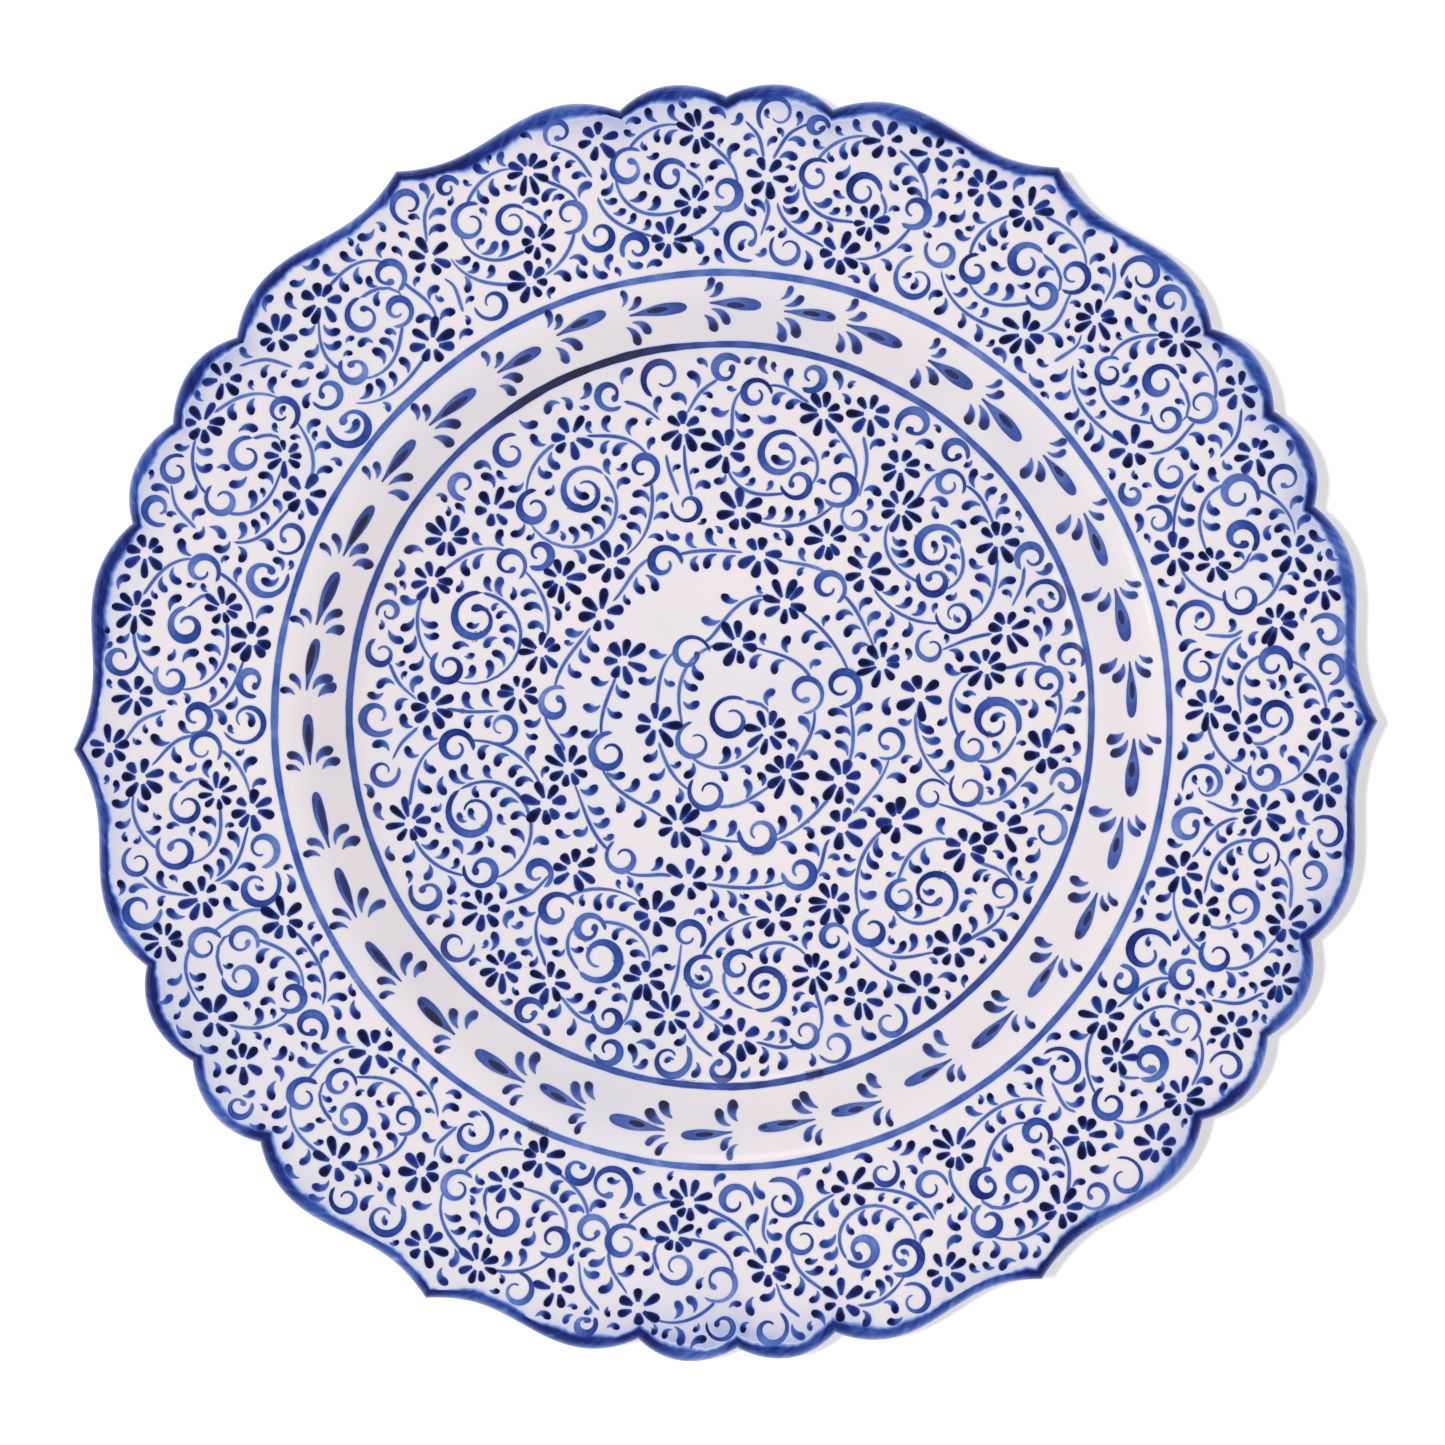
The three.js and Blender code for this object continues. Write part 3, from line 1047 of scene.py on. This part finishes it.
def band_painting():
    """Long drops round the cavetto, each with two commas on both sides of its tail."""
    painting = Painting("cavetto_band", "band")
    swell = (0.1 + 0.9 * between(ENDWARD, -0.08, 0.66)) * (1 - 0.22 * between(ENDWARD, 0.62, 1))
    swell = swell * round_end(0.84)
    bearings = spaced_by_eye(BAND_DROPS, seed=BAND_DROPS)
    for i, bearing in enumerate(bearings):
        radius = BAND_RADIUS + rng.uniform(-0.6, 0.6)
        tilt = rng.uniform(-1.4, 1.4)
        after = bearings[(i + 1) % len(bearings)]
        reach = min(vary(BAND_REACH, 0.1), (after - bearing) % 360 - 1.1)
        path = BAND_CENTRE + polar(bearing + reach * (1 - ENDWARD), radius + tilt * ENDWARD)
        width = vary(1.48, 0.16)
        shade = vary(0.56, 0.1) + 0.08 * np.cos(7 * ENDWARD)
        painting.stroke(path, width * swell, shade, "leaf", DARK_EDGES)
        full = between(math.cos(math.radians(bearing - 175)), 0.2, 0.9)
        start = rng.uniform(0.3, 0.42) * (1 - 0.3 * full)
        cores = [(start, rng.uniform(0.26, 0.36) + 0.3 * full, 0.46 + 0.16 * full)]
        if rng.random() < 0.25 * (1 - full):
            cores.append((0.83, 0.14, 0.42))
        for start, length, share in cores:
            along = start + length * np.linspace(0, 1, 9)
            side = rng.uniform(-0.3, 0.3) * width
            core = BAND_CENTRE + polar(bearing + reach * (1 - along), radius + tilt * along + side)
            half = share * width * np.sin(np.pi * np.linspace(0.03, 0.97, 9)) ** 0.5
            painting.stroke(core, half, np.full(9, vary(0.93, 0.07)), "petal", DARK_MIDDLE**0.4)
        forward = bearing + reach - 90
        for past, out, angle, length, size in BAND_LEAVES:
            tail = path[0] - polar(forward, past) + polar(bearing + reach, vary(out, 0.12))
            bend = math.copysign(rng.uniform(60, 115), angle)
            heading = forward + vary(angle, 0.3)
            leaf(painting, tail, heading, vary(length, 0.14), bend, vary(size, 0.12))
    return painting


# ---- the painted lip


def near_bearing(bearing, middle, spread):
    """1 at a bearing, falling off to 0 on both sides of it."""
    return bell(turned_from(bearing, middle), spread)


# Bearing and spread, in degrees, of the stretches where the lip is nearly navy.
NAVY_STRETCHES = ((66, 5), (114, 6), (134, 4), (173, 9), (207, 4), (262, 3), (303, 4), (322, 3))


def lip_band_width(bearing):
    """How far the cobalt reaches in from the edge, wider over the crests and lobes."""
    _, _, off = off_tip(bearing)
    crest = bell(off - CREST_AT, 4.2) + bell(off - LOBE_AT, 2.4)
    heavy = 0.3 + 0.85 * near_bearing(bearing, 76, 58)
    return np.maximum(1.3, 1.85 + heavy * crest + 1.1 * ripple(bearing, (7, 13, 19, 43, 88), 31))


def lip_wash(x, y):
    """How strong the watery blue is that has run in from the lip, from 0 to 1."""
    bearing = np.degrees(np.arctan2(y, x))
    inset = edge_radius(bearing) - np.hypot(x, y)
    _, _, off = off_tip(bearing)
    lobes = 0.35 + 0.65 * between(off, 8, 24)
    strength = lobes * (0.88 + 0.8 * ripple(bearing, (4, 9, 17), 3))
    reach = 4.6 + 2.8 * ripple(bearing, (5, 13, 29), 12)
    return np.clip(strength * np.exp(-np.clip(inset - 2, 0, None) / reach), 0, 1)


def add_amounts(piece, name, values):
    """Store a value for each point of a piece, for its material to read."""
    amounts = piece.data.attributes.new(name, "FLOAT", "POINT")
    amounts.data.foreach_set("value", np.asarray(values, np.float32))


def add_wash(piece):
    places = np.zeros(3 * len(piece.data.vertices), np.float32)
    piece.data.vertices.foreach_get("co", places)
    x, y, _ = places.reshape(-1, 3).T / MM
    add_amounts(piece, "wash", lip_wash(x, y))


# Across the painted lip: where each line of it runs, as a share of its width from the edge,
# and how much ink it holds. The first lines fade into the white.
LIP_FADE = ((1.7, 0.0), (1.4, 0.1), (1.15, 0.32), (0.98, 0.56), (0.8, 0.64), (0.62, 0.6))
LIP_LIFT = 0.04  # of the cobalt on the lip above the glaze
NOSE_TURNS = (8, 22, 38, 56, 74, 92, 112, 134, 160)  # round the edge, as in lip_point


def lip_pools(bearings):
    """How much cobalt has pooled round the lip, at its corners and along the navy stretches."""
    _, _, off = off_tip(bearings)
    pools = bell(off, 1.5) + bell(off - NOTCH_AT, 1.5)
    pools = pools + bell(off - MIDDLE_AT, 1.2)
    pools = pools + sum(near_bearing(bearings, middle, half) for middle, half in NAVY_STRETCHES)
    return np.clip(pools + 1.2 * np.clip(ripple(bearings, (11, 14, 23), 61), 0, 0.5), 0, 1.2)


def lip_painting(material):
    """Cobalt over the edge, from the face round to the back, with a streaky inner side."""
    bearings = bearings_round(0.2)
    edge = edge_radius(bearings)
    width = lip_band_width(bearings) + 0.16 * ripple(bearings, (181, 263, 347, 431), 8)
    pools = lip_pools(bearings)
    rings, inks = [], []
    for share, ink in LIP_FADE:
        inset = NOSE * 0.9 + np.maximum(share * width - NOSE * 0.9, 0.05 * share)
        rings.append(ring(bearings, edge - inset, lambda x, y: face_height(x, y) + LIP_LIFT))
        inks.append(ink)
    for turn in NOSE_TURNS:
        rings.append(lip_point(bearings, turn, FLOOR_COATS + LIP_LIFT, GLAZE + LIP_LIFT))
        inks.append(0.62 - 0.24 * between(turn, 10, 60))
    back_inset = 3.2 + 0.5 * ripple(bearings, (6, 15, 33), 77)
    rings.append(ring(bearings, edge - back_inset, lambda x, y: back_height(x, y) - LIP_LIFT))
    inks.append(0.3)
    size = len(bearings)
    corner = np.arange(len(rings) * size).reshape(len(rings), size)
    after = np.roll(corner, -1, axis=1)
    quads = np.stack([corner[:-1], corner[1:], after[1:], after[:-1]], -1)
    faces = quads.reshape(-1, 4).tolist()
    piece = make_piece("lip_brushwork", np.concatenate(rings), faces, material, "cobalt_paint")
    amounts = []
    for i, ink in enumerate(inks):
        slanted = bearings + 0.22 * i
        streaks = 0.1 * ripple(slanted, (211, 301, 419), 2) + 0.1 * ripple(slanted, (7, 16, 37), 40)
        dry = 0.5 * np.clip(ripple(slanted, (97, 233, 389), 17) - 0.45, 0, 1) * (6 < i < 12)
        full = min(1, 1.6 * ink)
        amounts.append(np.clip(ink + full * (streaks + 0.26 * pools - dry), 0, 0.88))
    add_amounts(piece, "ink", np.concatenate(amounts))
    add_wash(piece)


# ---- materials


def srgb(red, green, blue):
    """A colour given as sRGB from 0 to 255, as linear RGBA."""
    return tuple(((c / 255 + 0.055) / 1.055) ** 2.4 for c in (red, green, blue)) + (1,)


def set_ramp(node, stops):
    """Give a colour ramp its stops, each a position and a colour."""
    while len(node.color_ramp.elements) < len(stops):
        node.color_ramp.elements.new(0.5)
    for element, (position, colour) in zip(node.color_ramp.elements, stops):
        element.position = position
        element.color = colour


class Nodes:
    """Short ways to add shader nodes to a new material."""

    def __init__(self, name):
        self.material = bpy.data.materials.new(name)
        self.material.use_nodes = True
        self.tree = self.material.node_tree
        self.shader = self.tree.nodes["Principled BSDF"]
        self.place = self.add("ShaderNodeTexCoord").outputs["Object"]

    def put(self, value, socket):
        """Link another node's output to a socket, or set a plain value on it."""
        if isinstance(value, bpy.types.NodeSocket):
            self.tree.links.new(value, socket)
        else:
            socket.default_value = value

    def add(self, kind, inputs=(), **settings):
        node = self.tree.nodes.new(kind)
        for key, value in settings.items():
            setattr(node, key, value)
        for key, value in dict(inputs).items():
            self.put(value, node.inputs[key])
        return node

    def noise(self, feature, detail=3, rough=0.55):
        """Noise with features of about so many millimetres."""
        scale = 1 / (feature * MM)
        inputs = {"Vector": self.place, "Scale": scale, "Detail": detail, "Roughness": rough}
        return self.add("ShaderNodeTexNoise", inputs).outputs["Fac"]

    def math(self, operation, *values):
        node = self.add("ShaderNodeMath", operation=operation)
        for socket, value in zip(node.inputs, values):
            self.put(value, socket)
        return node.outputs[0]

    def ramp(self, factor, stops):
        node = self.add("ShaderNodeValToRGB", {"Fac": factor})
        set_ramp(node, stops)
        return node.outputs["Color"]

    def mix(self, factor, first, second):
        node = self.add("ShaderNodeMix", data_type="RGBA")
        for socket, value in ((0, factor), (6, first), (7, second)):
            self.put(value, node.inputs[socket])
        return node.outputs[2]

    def bump(self, height, distance, under=None):
        inputs = {"Height": height, "Distance": distance * MM, "Strength": 1.0}
        if under is not None:
            inputs["Normal"] = under
        return self.add("ShaderNodeBump", inputs).outputs["Normal"]

    def join(self, value, socket):
        self.tree.links.new(value, self.shader.inputs[socket])


def glassy(nodes):
    """The surface of the fired glaze: nearly smooth, with a slight orange peel."""
    peel = nodes.bump(nodes.noise(7, 2, 0.4), 0.045)
    nodes.join(nodes.bump(nodes.noise(1.6, 2, 0.5), 0.003, peel), "Normal")
    streak = nodes.math("MULTIPLY_ADD", nodes.noise(22, 3), 0.06, 0.05)
    nodes.join(streak, "Roughness")
    nodes.shader.inputs["IOR"].default_value = 1.5
    nodes.shader.inputs["Specular IOR Level"].default_value = 0.32


MOTTLE_STOPS = (
    (0.3, srgb(213, 210, 217)),
    (0.52, srgb(220, 213, 217)),
    (0.72, srgb(224, 215, 216)),
)
SPECK_BROWN = srgb(120, 104, 96)
SPECK_SPACING = 11
SPECK_SIZE = 0.018  # as a share of the spacing
WASH_BLUE = srgb(112, 136, 198)
INK_STOPS = (
    (0.1, srgb(186, 193, 218)),
    (0.24, srgb(134, 150, 200)),
    (0.42, srgb(84, 108, 174)),
    (0.6, srgb(50, 76, 152)),
    (0.78, srgb(28, 42, 112)),
    (1.0, srgb(12, 13, 42)),
)


def glaze_colour(nodes, washed):
    """White glaze, with a faint mottle and a few specks, and blue run in from the lip."""
    mottle = nodes.ramp(nodes.noise(45, 4), MOTTLE_STOPS)
    scattered = {"Vector": nodes.place, "Scale": 1 / (SPECK_SPACING * MM)}
    specks = nodes.add("ShaderNodeTexVoronoi", scattered)
    speck = nodes.math("LESS_THAN", specks.outputs["Distance"], SPECK_SIZE)
    colour = nodes.mix(nodes.math("MULTIPLY", speck, 0.5), mottle, SPECK_BROWN)
    if washed:
        wash = nodes.add("ShaderNodeAttribute", attribute_name="wash").outputs["Fac"]
        cloud = nodes.math("MULTIPLY_ADD", nodes.noise(5, 4), 1.1, 0.25)
        amount = nodes.math("MULTIPLY", wash, cloud)
        colour = nodes.mix(nodes.math("MULTIPLY", amount, 0.75), colour, WASH_BLUE)
    return colour


def glaze_material(name, washed):
    nodes = Nodes(name)
    nodes.join(glaze_colour(nodes, washed), "Base Color")
    glassy(nodes)
    return nodes.material


def ink_material():
    """Cobalt under the glaze, from a pale wash to near black where the brush was full."""
    nodes = Nodes("cobalt_brushwork")
    ink = nodes.add("ShaderNodeAttribute", attribute_name="ink").outputs["Fac"]
    grain = nodes.math("MULTIPLY_ADD", nodes.noise(0.9, 3, 0.6), 0.2, -0.1)
    pools = nodes.math("MULTIPLY_ADD", nodes.noise(3.5, 2), 0.24, -0.12)
    uneven = nodes.math("ADD", grain, pools)
    full = nodes.math("MINIMUM", nodes.math("MULTIPLY", ink, 4), 1)
    total = nodes.math("MULTIPLY_ADD", uneven, full, ink)
    blue = nodes.ramp(total, INK_STOPS)
    share = nodes.math("MINIMUM", nodes.math("MULTIPLY", total, 1 / INK_STOPS[0][0]), 1)
    bare = nodes.math("MAXIMUM", share, 0)
    nodes.join(nodes.mix(bare, glaze_colour(nodes, True), blue), "Base Color")
    glassy(nodes)
    return nodes.material


def clay_material(name, shades, grit):
    """Unglazed ware: matt and gritty, with darker grains and faint turning marks."""
    nodes = Nodes(name)
    body = nodes.ramp(nodes.noise(9, 5), ((0.3, shades[0]), (0.7, shades[1])))
    grains = nodes.math("GREATER_THAN", nodes.noise(0.7, 2), 0.68)
    nodes.join(nodes.mix(nodes.math("MULTIPLY", grains, 0.35), body, shades[2]), "Base Color")
    rings = nodes.add(
        "ShaderNodeTexWave",
        {"Vector": nodes.place, "Scale": 260, "Distortion": 1.5},
        wave_type="RINGS",
        rings_direction="Z",
    )
    turned = nodes.bump(rings.outputs["Fac"], 0.05)
    nodes.join(nodes.bump(nodes.noise(0.5, 4, 0.7), grit, turned), "Normal")
    nodes.join(nodes.math("MULTIPLY_ADD", nodes.noise(4, 2), 0.2, 0.68), "Roughness")
    return nodes.material


# ---- the object

CLAY_SHADES = (srgb(206, 186, 156), srgb(222, 205, 178), srgb(128, 100, 76))
SLIP_SHADES = (srgb(224, 219, 214), srgb(234, 230, 226), srgb(200, 190, 180))


def build_body():
    clay = clay_material("fired_clay", CLAY_SHADES, 0.06)
    slip = clay_material("white_slip", SLIP_SHADES, 0.02)
    plain = glaze_material("white_glaze", washed=False)
    clay_body(clay)
    foot_ring(clay)
    white_slip(slip)
    washed = glaze_material("face_glaze", washed=True)
    face_glaze(washed)
    lip_glaze(washed)
    back_glaze(plain)
    recess_glaze(plain)


WELL_FILL_START = 44  # where loose motifs and leaves begin outside the garland
GARLAND_FILL_START = 38


def build_painting():
    ink = ink_material()
    lines = ring_lines()
    garland, spiral = middle_paintings()
    rim = scrolls_round("rim", RIM_SCROLL_COUNT, RIM_SCROLL_RADIUS, RIM_SCROLLS, RIM_SPRIGS, 1)
    well = scrolls_round(
        "well", WELL_SCROLL_COUNT, WELL_SCROLL_RADIUS, WELL_SCROLLS, WELL_SPRIGS, 0.5
    )
    band = band_painting()
    leaves_on_stems()
    fill_with_motifs(rim, RIM_START, max(TIP_REACHES))
    fill_with_motifs(well, WELL_FILL_START, WELL_LIMIT)
    fill_with_leaves(rim, RIM_START, max(TIP_REACHES))
    fill_with_leaves(well, WELL_FILL_START, WELL_LIMIT)
    fill_with_leaves([(0, garland)], GARLAND_FILL_START, WELL_FILL_START)
    for painting in [*lines, garland, spiral, band, *(entry[1] for entry in rim + well)]:
        painting.finish(ink)
    lip_painting(ink)


# ---- camera, light and floor

VIEW_WIDTH = 335.5  # width of what the camera sees at the height of the rim
VIEW_CENTRE = (-0.86, -0.33)
CAMERA_HEIGHT = 4500


def add_camera():
    data = bpy.data.cameras.new("camera")
    data.sensor_width = 36
    rim_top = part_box("lip_glaze")[1].z / MM
    data.lens = data.sensor_width * (CAMERA_HEIGHT - rim_top) / VIEW_WIDTH
    data.clip_end = 20
    camera = new_object("camera", data)
    camera.location = Vector((*VIEW_CENTRE, CAMERA_HEIGHT)) * MM
    bpy.context.scene.camera = camera


# Name, bearing, elevation, size, power and distance of each soft light.
AREA_LIGHTS = (
    ("key", 192, 50, 1.5, 4, 2.4),
    ("window_top", 94, 52, 0.3, 0.8, 1.6),
    ("window_left", 198, 50, 0.25, 0.6, 1.6),
)
SUN_POWER = 1.2
SUN_TOWARD = (-0.125, 0.012, 1)


def add_area(name, bearing, elevation, size, power, distance):
    """A square soft light that points at the plate."""
    data = bpy.data.lights.new(name, "AREA")
    data.size = size
    data.energy = power
    light = new_object(name, data)
    across, up = polar(elevation, distance)
    light.location = (*polar(bearing, across), up)
    light.rotation_euler = (-light.location).to_track_quat("-Z", "Y").to_euler()


# How bright the world is at each height, from level to straight above.
WORLD_LEVELS = ((0.0, 0.75), (0.45, 0.95), (0.8, 0.9), (0.95, 0.15))
WORLD_STRENGTH = 1.02


def add_world():
    """Soft light from all round, brightest half way up and dim straight above."""
    world = bpy.data.worlds.new("studio")
    world.use_nodes = True
    tree = world.node_tree
    direction = tree.nodes.new("ShaderNodeTexCoord")
    split = tree.nodes.new("ShaderNodeSeparateXYZ")
    tree.links.new(direction.outputs["Generated"], split.inputs[0])
    ramp = tree.nodes.new("ShaderNodeValToRGB")
    tree.links.new(split.outputs["Z"], ramp.inputs["Fac"])
    set_ramp(ramp, [(height, (level, level, level, 1)) for height, level in WORLD_LEVELS])
    background = tree.nodes["Background"]
    tree.links.new(ramp.outputs["Color"], background.inputs["Color"])
    background.inputs["Strength"].default_value = WORLD_STRENGTH
    bpy.context.scene.world = world


def add_lights():
    add_world()
    for light in AREA_LIGHTS:
        add_area(*light)
    sun = bpy.data.lights.new("overhead", "SUN")
    sun.energy = SUN_POWER
    sun.angle = math.radians(2)
    overhead = new_object("overhead", sun)
    overhead.rotation_euler = Vector(SUN_TOWARD).to_track_quat("Z", "Y").to_euler()
    overhead.visible_glossy = False


FLOOR_GLOW = 0.1
FLOOR_HALF = 3  # in metres


def add_floor():
    """A white table, lit a little from below."""
    mesh = bpy.data.meshes.new("floor")
    half = FLOOR_HALF
    corners = [(-half, -half, 0), (half, -half, 0), (half, half, 0), (-half, half, 0)]
    mesh.from_pydata(corners, [], [(0, 1, 2, 3)])
    nodes = Nodes("pale_floor")
    shades = ((0, srgb(248, 248, 248)), (1, srgb(251, 251, 251)))
    nodes.join(nodes.ramp(nodes.noise(300, 2), shades), "Base Color")
    nodes.shader.inputs["Roughness"].default_value = 0.9
    nodes.shader.inputs["Specular IOR Level"].default_value = 0.1
    nodes.shader.inputs["Emission Color"].default_value = (1, 1, 1, 1)
    nodes.shader.inputs["Emission Strength"].default_value = FLOOR_GLOW
    mesh.materials.append(nodes.material)
    floor = new_object("floor", mesh)
    floor.location.z = -0.05 * MM


bpy.context.scene.view_settings.view_transform = "Standard"
add_camera()
add_lights()
add_floor()
build_body()
build_painting()
